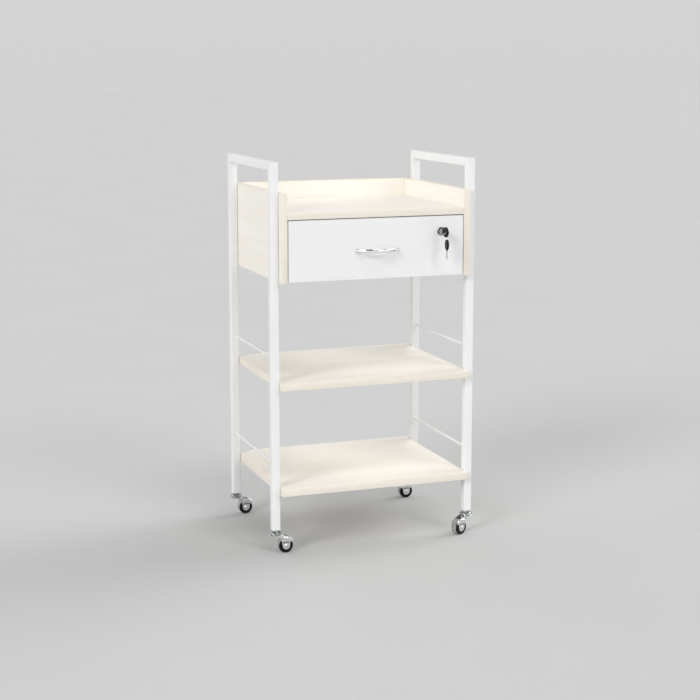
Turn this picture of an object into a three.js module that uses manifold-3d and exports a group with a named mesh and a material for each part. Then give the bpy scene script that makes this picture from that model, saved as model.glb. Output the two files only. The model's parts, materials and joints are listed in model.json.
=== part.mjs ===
// Rolling salon trolley: two welded side frames of square tube on swivel casters, two laminate
// shelves, and a cabinet with a tray on top and a lockable drawer. Millimetres, +Z up, front at -Y.

import * as THREE from 'three';
import { mergeVertices } from 'three/addons/utils/BufferGeometryUtils.js';
import Module from 'manifold-3d';

const wasm = await Module();
wasm.setup();

// Overall sizes
const WIDTH = 520;
const FRAME_DEPTH = 370;
const HEIGHT = 940;
const CASTER_HEIGHT = 58;
const GAP = 0.3;

// Side frames
const TUBE = 20;
const TUBE_WALL = 1.2;
const TUBE_CORNER = 2;
const RAIL_RADIUS = 3;
const RAIL_ABOVE_SHELF = 57;

// Boards
const BOARD_PROUD = 18;
const SHELF_THICKNESS = 18;
const PANEL_THICKNESS = 16;
const LOWER_SHELF_TOP = 162;
const UPPER_SHELF_TOP = 419;
const CABINET_BOTTOM = 657;
const CABINET_TOP = 867;
const TRAY_DEPTH = 45;

// Drawer
const DRAWER_REVEAL = 2;
const DRAWER_SIDE_THICKNESS = 12;
const DRAWER_SIDE_BOTTOM = 670;
const DRAWER_SIDE_TOP = 785;
const DRAWER_BOX_LENGTH = 350;
const DRAWER_BOTTOM_THICKNESS = 4;
const DRAWER_BOTTOM_RAISE = 9;
const HANDLE_CHORD = 106;
const HANDLE_REACH = 25;
const HANDLE_HALF_HEIGHT = 4.2;
const HANDLE_HALF_THICKNESS = 2.3;
const HANDLE_BELOW_MIDDLE = 3.5;

// Roller runners
const RUNNER_SPACE = 12.5;
const RUNNER_WALL = 1.2;
const RUNNER_LENGTH = 350;
const ROLLER_RADIUS = 8;
const ROLLER_WIDTH = 6;
const ROLLER_HEIGHT = 699.5;
const ROLLER_PIN_RADIUS = 2;
const ROLLER_PIN_CLEARANCE = 0.3;
const ROLLER_SETBACK = 16;

// Cam lock and keys
const LOCK_FROM_EDGE = 58;
const LOCK_FROM_TOP = 37;
const COLLAR_RADIUS = 10;
const COLLAR_PROUD = 3;
const BARREL_RADIUS = 8;
const BARREL_LENGTH = 32;
const PLUG_RADIUS = 5.2;
const CAM_REACH = 45;
const CAM_HALF_WIDTH = 7;
const CAM_THICKNESS = 2;
const CAM_SLOT_DEPTH = 9;
const CAM_SLOT_MARGIN = 3;
const KEY_HEAD_START = 16;
const KEY_HEAD_RADIUS = 12.5;
const KEY_HEAD_THICKNESS = 6;
const KEY_BLADE_LENGTH = 23;
const KEY_BLADE_HALF_HEIGHT = 4;
const KEY_BLADE_THICKNESS = 2;
const KEY_TANG = 6;
const KEY_HOLE_RADIUS = 2.7;
const KEY_HOLE_FROM_TIP = 5;
const RING_RADIUS = 11;
const RING_WIRE_RADIUS = 0.8;
const SPARE_KEY_TWIST = -11;

// Swivel casters
const WHEEL_RADIUS = 18;
const WHEEL_HALF_WIDTH = 8.5;
const TRAIL = 24;
const FORK_HALF_WIDTH = 11.2;
const FORK_INNER_HALF_WIDTH = 9.4;
const CASTER_TURNS = {
  front_left: 0,
  rear_left: 4,
  front_right: 202,
  rear_right: 180,
};

// Values that follow from the sizes above
const POST_HEIGHT = HEIGHT - CASTER_HEIGHT;
const POST_X = WIDTH / 2 - TUBE / 2;
const POST_Y = FRAME_DEPTH / 2 - TUBE / 2;
const INNER_WIDTH = WIDTH - 2 * TUBE - 2 * GAP;
const BOARD_DEPTH = FRAME_DEPTH + 2 * BOARD_PROUD;
const FRONT_Y = -BOARD_DEPTH / 2;
const BACK_Y = BOARD_DEPTH / 2;
const CABINET_INNER = INNER_WIDTH - 2 * PANEL_THICKNESS;
const TRAY_FLOOR = CABINET_TOP - TRAY_DEPTH;
const TOP_BOARD_BOTTOM = TRAY_FLOOR - PANEL_THICKNESS;
const DRAWER_FRONT_WIDTH = CABINET_INNER - 2 * DRAWER_REVEAL;
const DRAWER_FRONT_TOP = TOP_BOARD_BOTTOM - DRAWER_REVEAL;
const DRAWER_FRONT_BOTTOM = CABINET_BOTTOM + DRAWER_REVEAL;
const DRAWER_BOX_WIDTH = CABINET_INNER - 2 * RUNNER_SPACE;
const DRAWER_BOX_FRONT = FRONT_Y + PANEL_THICKNESS + GAP;
const LOCK_X = DRAWER_FRONT_WIDTH / 2 - LOCK_FROM_EDGE;
const LOCK_Z = DRAWER_FRONT_TOP - LOCK_FROM_TOP;
const KEY_TIP_Y = FRONT_Y - KEY_HEAD_START - 2 * KEY_HEAD_RADIUS;
const RING_Y = KEY_TIP_Y + KEY_HOLE_FROM_TIP;
const SPARE_TWIST_ANGLE = THREE.MathUtils.degToRad(SPARE_KEY_TWIST);
const SPARE_KEY_REACH = KEY_HEAD_RADIUS * Math.cos(SPARE_TWIST_ANGLE)
  + (KEY_HEAD_THICKNESS / 2) * Math.abs(Math.sin(SPARE_TWIST_ANGLE));
const CENTRE_SHIFT = -(RING_Y - SPARE_KEY_REACH + BACK_Y) / 2;

// Finishes
const finish = (color, roughness, metalness) =>
  new THREE.MeshStandardMaterial({ color, roughness, metalness });
const whitePaint = finish(0xf0f1f2, 0.45, 0.1);
const mapleLaminate = finish(0xf4eee0, 0.5, 0);
const whiteLaminate = finish(0xeeeff0, 0.4, 0);
const drawerBoard = finish(0xeae6dc, 0.6, 0);
const zincSteel = finish(0xc9ccd0, 0.28, 0.9);
const chrome = finish(0xdcdfe2, 0.12, 1);
const greyTyre = finish(0x9b9b98, 0.55, 0);
const blackPlastic = finish(0x161618, 0.4, 0);
const nylon = finish(0xe9e8e2, 0.5, 0);

// Solid and mesh helpers
function solidOf(geometry) {
  const bare = geometry.clone();
  bare.deleteAttribute('normal');
  bare.deleteAttribute('uv');
  const merged = mergeVertices(bare, 1e-4);
  return new wasm.Manifold(new wasm.Mesh({
    numProp: 3,
    vertProperties: new Float32Array(merged.attributes.position.array),
    triVerts: new Uint32Array(merged.index.array),
  }));
}

function geometryOf(solid) {
  const { vertProperties, triVerts } = solid.getMesh();
  const geometry = new THREE.BufferGeometry();
  geometry.setAttribute('position', new THREE.BufferAttribute(vertProperties, 3));
  geometry.setIndex(new THREE.BufferAttribute(triVerts, 1));
  geometry.computeVertexNormals();
  return geometry;
}

function cut(body, ...tools) {
  return geometryOf(tools.reduce((rest, tool) => rest.subtract(solidOf(tool)), solidOf(body)));
}

function join(body, ...others) {
  return geometryOf(others.reduce((whole, other) => whole.add(solidOf(other)), solidOf(body)));
}

function addPart(parent, name, geometry, material, x = 0, y = 0, z = 0) {
  const mesh = new THREE.Mesh(geometry, material);
  mesh.name = name;
  mesh.position.set(x, y, z);
  parent.add(mesh);
  return mesh;
}

// A box given by its lowest and highest corners
function block([x0, y0, z0], [x1, y1, z1]) {
  const box = new THREE.BoxGeometry(x1 - x0, y1 - y0, z1 - z0);
  return box.translate((x0 + x1) / 2, (y0 + y1) / 2, (z0 + z1) / 2);
}

// A round bar along Z between two heights
function rod(radius, z0, z1, sides) {
  const bar = new THREE.CylinderGeometry(radius, radius, z1 - z0, sides);
  return bar.rotateX(Math.PI / 2).translate(0, 0, (z0 + z1) / 2);
}

// A body of revolution about Z from its [radius, height] outline
function turned(outline, sides) {
  const points = outline.map(([radius, height]) => new THREE.Vector2(radius, height));
  return new THREE.LatheGeometry(points, sides).rotateX(Math.PI / 2);
}

// A ring-shaped body of revolution about Y, from an outline that closes on itself
function turnedRing(outline, sides) {
  const points = [...outline, outline[0]].map(([radius, along]) => new THREE.Vector2(radius, along));
  return new THREE.LatheGeometry(points, sides);
}

// An outline of Y and Z, extruded to a width that is centred on X
function prismAcrossX(shape, width) {
  const prism = new THREE.ExtrudeGeometry(shape, { depth: width, bevelEnabled: false, curveSegments: 10 });
  const turn = new THREE.Matrix4().makeBasis(
    new THREE.Vector3(0, 1, 0),
    new THREE.Vector3(0, 0, 1),
    new THREE.Vector3(1, 0, 0),
  );
  return prism.translate(0, 0, -width / 2).applyMatrix4(turn);
}

// An outline of X and Z, extruded to a depth that is centred on Y
function prismAcrossY(shape, depth) {
  const prism = new THREE.ExtrudeGeometry(shape, { depth, bevelEnabled: false, curveSegments: 8 });
  return prism.translate(0, 0, -depth / 2).rotateX(Math.PI / 2);
}

function outlineOf(points) {
  return new THREE.Shape(points.map(([a, b]) => new THREE.Vector2(a, b)));
}

function roundedSquare(side, corner, Kind) {
  const half = side / 2;
  const inset = half - corner;
  const path = new Kind();
  path.moveTo(half, -inset);
  path.absarc(inset, inset, corner, 0, Math.PI / 2);
  path.absarc(-inset, inset, corner, Math.PI / 2, Math.PI);
  path.absarc(-inset, -inset, corner, Math.PI, 1.5 * Math.PI);
  path.absarc(inset, -inset, corner, 1.5 * Math.PI, 2 * Math.PI);
  return path;
}

function squareTube(length) {
  const section = roundedSquare(TUBE, TUBE_CORNER, THREE.Shape);
  section.holes.push(roundedSquare(TUBE - 2 * TUBE_WALL, TUBE_CORNER - TUBE_WALL, THREE.Path));
  return new THREE.ExtrudeGeometry(section, { depth: length, bevelEnabled: false, curveSegments: 3 });
}

// A wedge whose long face is the 45 degree mitre plane through the point (y, z), above or below it
function mitreTool(y, z, side) {
  const reach = 3 * TUBE;
  const points = [[y - reach, z + reach], [y + reach, z - reach], [y + side * reach, z + side * reach]];
  return prismAcrossX(outlineOf(points), 2 * TUBE);
}

// Side frames: posts and handle bar are mitred, the rails are butted to the posts
function frontPost() {
  return cut(squareTube(POST_HEIGHT), mitreTool(-TUBE / 2, POST_HEIGHT - 1.5 * GAP, 1));
}

function handleBar() {
  const bar = squareTube(FRAME_DEPTH).translate(0, 0, -FRAME_DEPTH / 2).rotateX(Math.PI / 2);
  const frontEnd = mitreTool(-FRAME_DEPTH / 2, TUBE / 2, -1);
  const rearEnd = mitreTool(-FRAME_DEPTH / 2, TUBE / 2, -1).rotateZ(Math.PI);
  return cut(bar, frontEnd, rearEnd);
}

function addSideFrame(parent, side, x) {
  const frame = new THREE.Group();
  frame.position.set(x, 0, 0);
  parent.add(frame);
  addPart(frame, `${side}_front_post`, frontPost(), whitePaint, 0, -POST_Y, CASTER_HEIGHT);
  const rear = addPart(frame, `${side}_rear_post`, frontPost(), whitePaint, 0, POST_Y, CASTER_HEIGHT);
  rear.rotation.z = Math.PI;
  addPart(frame, `${side}_handle_bar`, handleBar(), whitePaint, 0, 0, HEIGHT - TUBE / 2);
  const railLength = FRAME_DEPTH - 2 * TUBE - 2 * GAP;
  const rail = new THREE.CylinderGeometry(RAIL_RADIUS, RAIL_RADIUS, railLength, 12);
  const heights = { upper: UPPER_SHELF_TOP, lower: LOWER_SHELF_TOP };
  for (const [level, shelfTop] of Object.entries(heights)) {
    addPart(frame, `${side}_${level}_rail`, rail, whitePaint, 0, 0, shelfTop + RAIL_ABOVE_SHELF);
  }
}

// Shelves lie between the side frames and stand proud at the front and the back
function shelf() {
  return new THREE.BoxGeometry(INNER_WIDTH, BOARD_DEPTH, SHELF_THICKNESS);
}

function addShelves(parent) {
  const tops = { upper_shelf: UPPER_SHELF_TOP, lower_shelf: LOWER_SHELF_TOP };
  for (const [name, top] of Object.entries(tops)) {
    addPart(parent, name, shelf(), mapleLaminate, 0, 0, top - SHELF_THICKNESS / 2);
  }
}

// Cabinet: two side panels, a back panel, and a tray floor with a pocket for the lock's cam
function addCabinet(parent) {
  const panelHeight = CABINET_TOP - CABINET_BOTTOM;
  const sidePanel = new THREE.BoxGeometry(PANEL_THICKNESS, BOARD_DEPTH, panelHeight);
  const middle = CABINET_BOTTOM + panelHeight / 2;
  const panelX = INNER_WIDTH / 2 - PANEL_THICKNESS / 2;
  addPart(parent, 'cabinet_left_panel', sidePanel, mapleLaminate, -panelX, 0, middle);
  addPart(parent, 'cabinet_right_panel', sidePanel, mapleLaminate, panelX, 0, middle);
  const fittedWidth = CABINET_INNER - 2 * GAP;
  const backPanel = new THREE.BoxGeometry(fittedWidth, PANEL_THICKNESS, panelHeight);
  addPart(parent, 'cabinet_back_panel', backPanel, mapleLaminate, 0, BACK_Y - PANEL_THICKNESS / 2, middle);
  const board = block(
    [-fittedWidth / 2, FRONT_Y, TOP_BOARD_BOTTOM],
    [fittedWidth / 2, BACK_Y - PANEL_THICKNESS - GAP, TRAY_FLOOR],
  );
  const camY = FRONT_Y + BARREL_LENGTH;
  const camEntry = Math.sqrt(CAM_REACH ** 2 - (TOP_BOARD_BOTTOM - LOCK_Z) ** 2);
  const slot = block(
    [LOCK_X - camEntry - CAM_SLOT_MARGIN, camY - CAM_SLOT_MARGIN, TOP_BOARD_BOTTOM - 1],
    [
      LOCK_X + CAM_HALF_WIDTH + CAM_SLOT_MARGIN,
      camY + 2 * CAM_SLOT_MARGIN,
      TOP_BOARD_BOTTOM + CAM_SLOT_DEPTH,
    ],
  );
  addPart(parent, 'cabinet_top_board', cut(board, slot), mapleLaminate);
}

// Roller runners: the cabinet's channel carries the drawer's rear roller, and the drawer's lip
// rides over the roller at the channel's front end
const CHANNEL_BOTTOM = ROLLER_HEIGHT - ROLLER_RADIUS - GAP - RUNNER_WALL;
const LIP_BOTTOM = ROLLER_HEIGHT + ROLLER_RADIUS + GAP;
const CHANNEL_TOP = LIP_BOTTOM + 2 * RUNNER_WALL + 2 * GAP;
const RUNNER_FRONT = FRONT_Y + PANEL_THICKNESS + 2;
const RUNNER_BACK = RUNNER_FRONT + RUNNER_LENGTH;
const PANEL_INNER_X = CABINET_INNER / 2;
const DRAWER_OUTER_X = DRAWER_BOX_WIDTH / 2;
const ROLLER_X = (PANEL_INNER_X + DRAWER_OUTER_X) / 2 + GAP;
const FRONT_ROLLER_Y = RUNNER_FRONT + ROLLER_SETBACK;
const REAR_ROLLER_Y = DRAWER_BOX_FRONT + DRAWER_BOX_LENGTH - ROLLER_SETBACK;

// A short pin along X, from x0 to x1
function crossPin(x0, x1, y) {
  const pin = new THREE.CylinderGeometry(ROLLER_PIN_RADIUS, ROLLER_PIN_RADIUS, x1 - x0, 12);
  return pin.rotateZ(Math.PI / 2).translate((x0 + x1) / 2, y, ROLLER_HEIGHT);
}

function cabinetRunner() {
  const webOuter = PANEL_INNER_X - GAP;
  const webInner = webOuter - RUNNER_WALL;
  const flangeEdge = DRAWER_OUTER_X + GAP + RUNNER_WALL + 1;
  const web = block([webInner, RUNNER_FRONT, CHANNEL_BOTTOM], [webOuter, RUNNER_BACK, CHANNEL_TOP]);
  const flangeStart = FRONT_ROLLER_Y + ROLLER_RADIUS + 4;
  const lower = block(
    [flangeEdge, flangeStart, CHANNEL_BOTTOM],
    [webOuter, RUNNER_BACK, CHANNEL_BOTTOM + RUNNER_WALL],
  );
  const upper = block(
    [flangeEdge, flangeStart, CHANNEL_TOP - RUNNER_WALL],
    [webOuter, RUNNER_BACK, CHANNEL_TOP],
  );
  const pin = crossPin(ROLLER_X - ROLLER_WIDTH / 2, webInner + 0.5, FRONT_ROLLER_Y);
  return join(web, lower, upper, pin);
}

function drawerRunner() {
  const webInner = DRAWER_OUTER_X + GAP;
  const webOuter = webInner + RUNNER_WALL;
  const shelfBottom = DRAWER_SIDE_BOTTOM - GAP - RUNNER_WALL;
  const runnerEnd = DRAWER_BOX_FRONT + DRAWER_BOX_LENGTH;
  const web = block(
    [webInner, DRAWER_BOX_FRONT, shelfBottom],
    [webOuter, runnerEnd, LIP_BOTTOM + RUNNER_WALL],
  );
  const under = block(
    [webInner - DRAWER_SIDE_THICKNESS, DRAWER_BOX_FRONT, shelfBottom],
    [webOuter, runnerEnd, shelfBottom + RUNNER_WALL],
  );
  const lip = block(
    [webInner, DRAWER_BOX_FRONT, LIP_BOTTOM],
    [ROLLER_X + ROLLER_WIDTH / 2, REAR_ROLLER_Y - ROLLER_SETBACK, LIP_BOTTOM + RUNNER_WALL],
  );
  const pin = crossPin(webOuter - 0.5, ROLLER_X + ROLLER_WIDTH / 2, REAR_ROLLER_Y);
  return join(web, under, lip, pin);
}

function roller() {
  const half = ROLLER_WIDTH / 2;
  const bore = ROLLER_PIN_RADIUS + ROLLER_PIN_CLEARANCE;
  const outline = [
    [bore, -half],
    [ROLLER_RADIUS - 0.6, -half],
    [ROLLER_RADIUS, -half + 0.6],
    [ROLLER_RADIUS, half - 0.6],
    [ROLLER_RADIUS - 0.6, half],
    [bore, half],
  ];
  return turnedRing(outline, 16).rotateZ(Math.PI / 2);
}

function addRunners(parent) {
  for (const [side, sign] of [['left', -1], ['right', 1]]) {
    const pair = new THREE.Group();
    pair.scale.x = sign;
    parent.add(pair);
    addPart(pair, `${side}_cabinet_runner`, cabinetRunner(), zincSteel);
    addPart(pair, `${side}_drawer_runner`, drawerRunner(), zincSteel);
    addPart(pair, `${side}_cabinet_roller`, roller(), nylon, ROLLER_X, FRONT_ROLLER_Y, ROLLER_HEIGHT);
    addPart(pair, `${side}_drawer_roller`, roller(), nylon, ROLLER_X, REAR_ROLLER_Y, ROLLER_HEIGHT);
  }
}

// Drawer box: the front carries the handle and the lock; the bottom sits between the sides
function addDrawer(parent) {
  const plate = block(
    [-DRAWER_FRONT_WIDTH / 2, FRONT_Y, DRAWER_FRONT_BOTTOM],
    [DRAWER_FRONT_WIDTH / 2, FRONT_Y + PANEL_THICKNESS, DRAWER_FRONT_TOP],
  );
  const bore = new THREE.CylinderGeometry(BARREL_RADIUS + GAP, BARREL_RADIUS + GAP, 3 * PANEL_THICKNESS, 24);
  addPart(parent, 'drawer_front', cut(plate, bore.translate(LOCK_X, FRONT_Y, LOCK_Z)), whiteLaminate);

  const height = DRAWER_SIDE_TOP - DRAWER_SIDE_BOTTOM;
  const side = new THREE.BoxGeometry(DRAWER_SIDE_THICKNESS, DRAWER_BOX_LENGTH, height);
  const sideX = DRAWER_OUTER_X - DRAWER_SIDE_THICKNESS / 2;
  const sideY = DRAWER_BOX_FRONT + DRAWER_BOX_LENGTH / 2;
  const sideZ = DRAWER_SIDE_BOTTOM + height / 2;
  addPart(parent, 'drawer_left_side', side, drawerBoard, -sideX, sideY, sideZ);
  addPart(parent, 'drawer_right_side', side, drawerBoard, sideX, sideY, sideZ);

  const innerWidth = DRAWER_BOX_WIDTH - 2 * DRAWER_SIDE_THICKNESS - 2 * GAP;
  const back = new THREE.BoxGeometry(innerWidth, DRAWER_SIDE_THICKNESS, height);
  const backY = DRAWER_BOX_FRONT + DRAWER_BOX_LENGTH - DRAWER_SIDE_THICKNESS / 2;
  addPart(parent, 'drawer_back', back, drawerBoard, 0, backY, sideZ);
  const bottomLength = DRAWER_BOX_LENGTH - DRAWER_SIDE_THICKNESS - GAP;
  const bottom = new THREE.BoxGeometry(innerWidth, bottomLength, DRAWER_BOTTOM_THICKNESS);
  const bottomY = DRAWER_BOX_FRONT + bottomLength / 2;
  const bottomZ = DRAWER_SIDE_BOTTOM + DRAWER_BOTTOM_RAISE + DRAWER_BOTTOM_THICKNESS / 2;
  addPart(parent, 'drawer_bottom', bottom, drawerBoard, 0, bottomY, bottomZ);

  addPart(parent, 'drawer_handle', drawerHandle(), chrome);
}

// A shallow bow of oval section, cut off just in front of the drawer
function drawerHandle() {
  const half = HANDLE_CHORD / 2;
  const radius = (half * half + HANDLE_REACH * HANDLE_REACH) / (2 * HANDLE_REACH);
  const centreY = FRONT_Y - HANDLE_REACH + radius;
  const sweep = Math.asin(half / radius) + 0.08;
  const middleZ = (DRAWER_FRONT_TOP + DRAWER_FRONT_BOTTOM) / 2 - HANDLE_BELOW_MIDDLE;
  const points = [];
  const steps = 16;
  for (let i = 0; i <= steps; i += 1) {
    const angle = -Math.PI / 2 - sweep + (2 * sweep * i) / steps;
    points.push(new THREE.Vector3(radius * Math.cos(angle), centreY + radius * Math.sin(angle), middleZ));
  }
  const section = new THREE.Shape();
  section.absellipse(0, 0, HANDLE_HALF_HEIGHT, HANDLE_HALF_THICKNESS, 0, 2 * Math.PI);
  const bow = new THREE.ExtrudeGeometry(section, {
    steps,
    curveSegments: 6,
    bevelEnabled: false,
    extrudePath: new THREE.CatmullRomCurve3(points),
  });
  const behind = block([-100, FRONT_Y - GAP, middleZ - 50], [100, FRONT_Y + 50, middleZ + 50]);
  return cut(bow, behind);
}

// Cam lock: a threaded barrel with a collar, a turning plug, and a cam behind the drawer front
function lockHousing() {
  const barrelEnd = BARREL_LENGTH - CAM_THICKNESS - GAP;
  const bore = PLUG_RADIUS + GAP;
  const outline = [
    [bore, GAP],
    [COLLAR_RADIUS - 1, GAP - COLLAR_PROUD],
    [COLLAR_RADIUS, 1 - COLLAR_PROUD],
    [COLLAR_RADIUS, -GAP],
    [BARREL_RADIUS, -GAP],
    [BARREL_RADIUS, barrelEnd],
    [bore, barrelEnd],
  ];
  return turnedRing(outline, 24).translate(LOCK_X, FRONT_Y, LOCK_Z);
}

function lockPlug() {
  const outline = [
    [0, -1],
    [PLUG_RADIUS, -1],
    [PLUG_RADIUS, BARREL_LENGTH - CAM_THICKNESS - GAP],
    [2.8, BARREL_LENGTH - CAM_THICKNESS - GAP],
    [2.8, BARREL_LENGTH + 2],
    [0, BARREL_LENGTH + 2],
  ];
  const plug = new THREE.LatheGeometry(outline.map(([r, y]) => new THREE.Vector2(r, y)), 24);
  const keyway = block(
    [-KEY_BLADE_THICKNESS / 2 - GAP, -5, -KEY_BLADE_HALF_HEIGHT - GAP],
    [KEY_BLADE_THICKNESS / 2 + GAP, 24, KEY_BLADE_HALF_HEIGHT + GAP],
  );
  return cut(plug, keyway).translate(LOCK_X, FRONT_Y, LOCK_Z);
}

function lockCam() {
  const shape = new THREE.Shape();
  shape.absarc(0, 0, CAM_HALF_WIDTH, -Math.PI / 2, Math.PI / 2);
  shape.lineTo(-CAM_REACH + 2, CAM_HALF_WIDTH);
  shape.lineTo(-CAM_REACH, CAM_HALF_WIDTH - 2);
  shape.lineTo(-CAM_REACH, 2 - CAM_HALF_WIDTH);
  shape.lineTo(-CAM_REACH + 2, -CAM_HALF_WIDTH);
  shape.closePath();
  const hole = new THREE.Path();
  hole.absarc(0, 0, 3.1, 0, 2 * Math.PI);
  shape.holes.push(hole);
  return prismAcrossY(shape, CAM_THICKNESS).translate(LOCK_X, FRONT_Y + BARREL_LENGTH, LOCK_Z);
}

function lockNut() {
  const nut = new THREE.CylinderGeometry(12, 12, 4, 6);
  const hole = new THREE.CylinderGeometry(BARREL_RADIUS + GAP, BARREL_RADIUS + GAP, 10, 24);
  const y = FRONT_Y + PANEL_THICKNESS + GAP + 2;
  return cut(nut, hole).translate(LOCK_X, y, LOCK_Z);
}

// A key lying along +Y with its ring hole at the origin: round head, then the blade
function keyHead() {
  const centreY = KEY_HEAD_RADIUS - KEY_HOLE_FROM_TIP;
  const shape = new THREE.Shape();
  shape.absarc(centreY, 0, KEY_HEAD_RADIUS, 0, 2 * Math.PI);
  const hole = new THREE.Path();
  hole.absarc(0, 0, KEY_HOLE_RADIUS, 0, 2 * Math.PI);
  shape.holes.push(hole);
  const headEnd = centreY + KEY_HEAD_RADIUS;
  const half = KEY_BLADE_THICKNESS / 2 + GAP;
  const high = KEY_BLADE_HALF_HEIGHT + GAP;
  const pocket = block([-half, headEnd - KEY_TANG - GAP, -high], [half, headEnd + 5, high]);
  return cut(prismAcrossX(shape, KEY_HEAD_THICKNESS), pocket);
}

function keyBlade() {
  const headEnd = 2 * KEY_HEAD_RADIUS - KEY_HOLE_FROM_TIP;
  const start = headEnd - KEY_TANG;
  const end = headEnd + KEY_BLADE_LENGTH;
  const high = KEY_BLADE_HALF_HEIGHT;
  const shape = outlineOf([
    [start, -high],
    [end - 3, -high],
    [end, -1],
    [end, 1],
    [end - 3, high],
    [start, high],
  ]);
  return prismAcrossX(shape, KEY_BLADE_THICKNESS);
}

function addLock(parent) {
  addPart(parent, 'lock_housing', lockHousing(), zincSteel);
  addPart(parent, 'lock_plug', lockPlug(), zincSteel);
  addPart(parent, 'lock_cam', lockCam(), zincSteel);
  addPart(parent, 'lock_nut', lockNut(), zincSteel);

  addPart(parent, 'key_head', keyHead(), blackPlastic, LOCK_X, RING_Y, LOCK_Z);
  addPart(parent, 'key_blade', keyBlade(), zincSteel, LOCK_X, RING_Y, LOCK_Z);

  const wire = [];
  for (let i = 0; i < 6; i += 1) {
    const angle = (2 * Math.PI * i) / 6;
    wire.push([RING_RADIUS + RING_WIRE_RADIUS * Math.cos(angle), RING_WIRE_RADIUS * Math.sin(angle)]);
  }
  addPart(parent, 'key_ring', turnedRing(wire, 20), zincSteel, LOCK_X, RING_Y, LOCK_Z - RING_RADIUS);

  // The spare key hangs from the bottom of the ring, a little twisted about the upright
  const spare = new THREE.Group();
  spare.position.set(LOCK_X, RING_Y, LOCK_Z - 2 * RING_RADIUS);
  spare.rotation.set(-Math.PI / 2, 0, SPARE_TWIST_ANGLE, 'ZYX');
  parent.add(spare);
  addPart(spare, 'spare_key_head', keyHead(), blackPlastic);
  addPart(spare, 'spare_key_blade', keyBlade(), zincSteel);
}

// Casters. Each is drawn about its swivel axis with the wheel trailing along +X.
const RACE_BOTTOM = 48.8;
const RACE_TOP = 51.3;
const FORK_PLATE_BOTTOM = 44;
const FORK_PLATE_TOP = 46.5;
const KINGPIN_RADIUS = 4;
const AXLE_RADIUS = 2.5;
const HOOD_RADIUS = 23;
const WHEEL_SPACE_RADIUS = 20.5;

function legInsert() {
  const half = TUBE / 2 - TUBE_WALL - GAP;
  const section = outlineOf([[half, -half], [half, half], [-half, half], [-half, -half]]);
  const hole = new THREE.Path();
  hole.absarc(0, 0, KINGPIN_RADIUS + 0.5, 0, 2 * Math.PI);
  section.holes.push(hole);
  return new THREE.ExtrudeGeometry(section, { depth: 26, bevelEnabled: false, curveSegments: 8 });
}

function casterStem() {
  const spindle = turned([
    [0, 41.4],
    [6, 41.4],
    [6, 43],
    [5, 43.7],
    [KINGPIN_RADIUS, 43.7],
    [KINGPIN_RADIUS, RACE_BOTTOM],
    [15.5, RACE_BOTTOM],
    [15.5, RACE_TOP - 1],
    [14, RACE_TOP],
    [KINGPIN_RADIUS, RACE_TOP],
    [KINGPIN_RADIUS, CASTER_HEIGHT + 21],
    [0, CASTER_HEIGHT + 22],
  ], 20);
  const hexagon = rod(7.5, RACE_TOP - 0.5, CASTER_HEIGHT - GAP, 6);
  return join(spindle, hexagon);
}

function casterFork() {
  const side = new THREE.Shape();
  side.moveTo(-8, FORK_PLATE_BOTTOM);
  side.lineTo(-8, FORK_PLATE_TOP);
  side.lineTo(14, FORK_PLATE_TOP);
  const hoodStart = 1.31;
  const hoodEnd = 0.44;
  side.absarc(TRAIL, WHEEL_RADIUS, HOOD_RADIUS, hoodStart, hoodEnd, true);
  side.absarc(TRAIL, WHEEL_RADIUS, 7.5, -0.35, -Math.PI + 0.35, true);
  side.lineTo(6, 38);
  side.lineTo(-4, FORK_PLATE_BOTTOM);
  side.closePath();
  const hood = prismAcrossY(side, 2 * FORK_HALF_WIDTH);
  const plate = rod(14, FORK_PLATE_BOTTOM, FORK_PLATE_TOP, 20);
  const race = rod(13, FORK_PLATE_TOP - 0.5, RACE_BOTTOM - 0.4, 20);
  const across = (radius, width, sides) =>
    new THREE.CylinderGeometry(radius, radius, width, sides).translate(TRAIL, 0, WHEEL_RADIUS);
  return cut(
    join(hood, plate, race),
    across(WHEEL_SPACE_RADIUS, 2 * FORK_INNER_HALF_WIDTH, 32),
    across(AXLE_RADIUS + GAP, 4 * FORK_HALF_WIDTH, 12),
    rod(KINGPIN_RADIUS + 0.4, 30, RACE_TOP, 12),
    rod(6.6, 30, FORK_PLATE_BOTTOM, 16),
  );
}

function casterAxle() {
  const inner = FORK_HALF_WIDTH + GAP;
  const outer = inner + 1.3;
  const outline = [
    [0, -outer],
    [4, -outer],
    [4.5, -inner],
    [AXLE_RADIUS, -inner],
    [AXLE_RADIUS, inner],
    [4.5, inner],
    [4, outer],
    [0, outer],
  ];
  return new THREE.LatheGeometry(outline.map(([r, y]) => new THREE.Vector2(r, y)), 12);
}

function casterWheel() {
  const half = WHEEL_HALF_WIDTH;
  const outline = [
    [AXLE_RADIUS + GAP, -half],
    [7, -half],
    [WHEEL_RADIUS - 7, 2 - half],
    [WHEEL_RADIUS - 2, -half],
    [WHEEL_RADIUS, 3 - half],
    [WHEEL_RADIUS, half - 3],
    [WHEEL_RADIUS - 2, half],
    [WHEEL_RADIUS - 7, half - 2],
    [7, half],
    [AXLE_RADIUS + GAP, half],
  ];
  return turnedRing(outline, 32);
}

function addCaster(parent, corner, x, y) {
  addPart(parent, `${corner}_leg_insert`, legInsert(), blackPlastic, x, y, CASTER_HEIGHT + GAP);
  const caster = new THREE.Group();
  caster.position.set(x, y, 0);
  caster.rotation.z = THREE.MathUtils.degToRad(CASTER_TURNS[corner]);
  parent.add(caster);
  addPart(caster, `${corner}_caster_stem`, casterStem(), zincSteel);
  addPart(caster, `${corner}_caster_fork`, casterFork(), zincSteel);
  addPart(caster, `${corner}_caster_axle`, casterAxle(), zincSteel, TRAIL, 0, WHEEL_RADIUS);
  addPart(caster, `${corner}_caster_wheel`, casterWheel(), greyTyre, TRAIL, 0, WHEEL_RADIUS);
}

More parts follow.
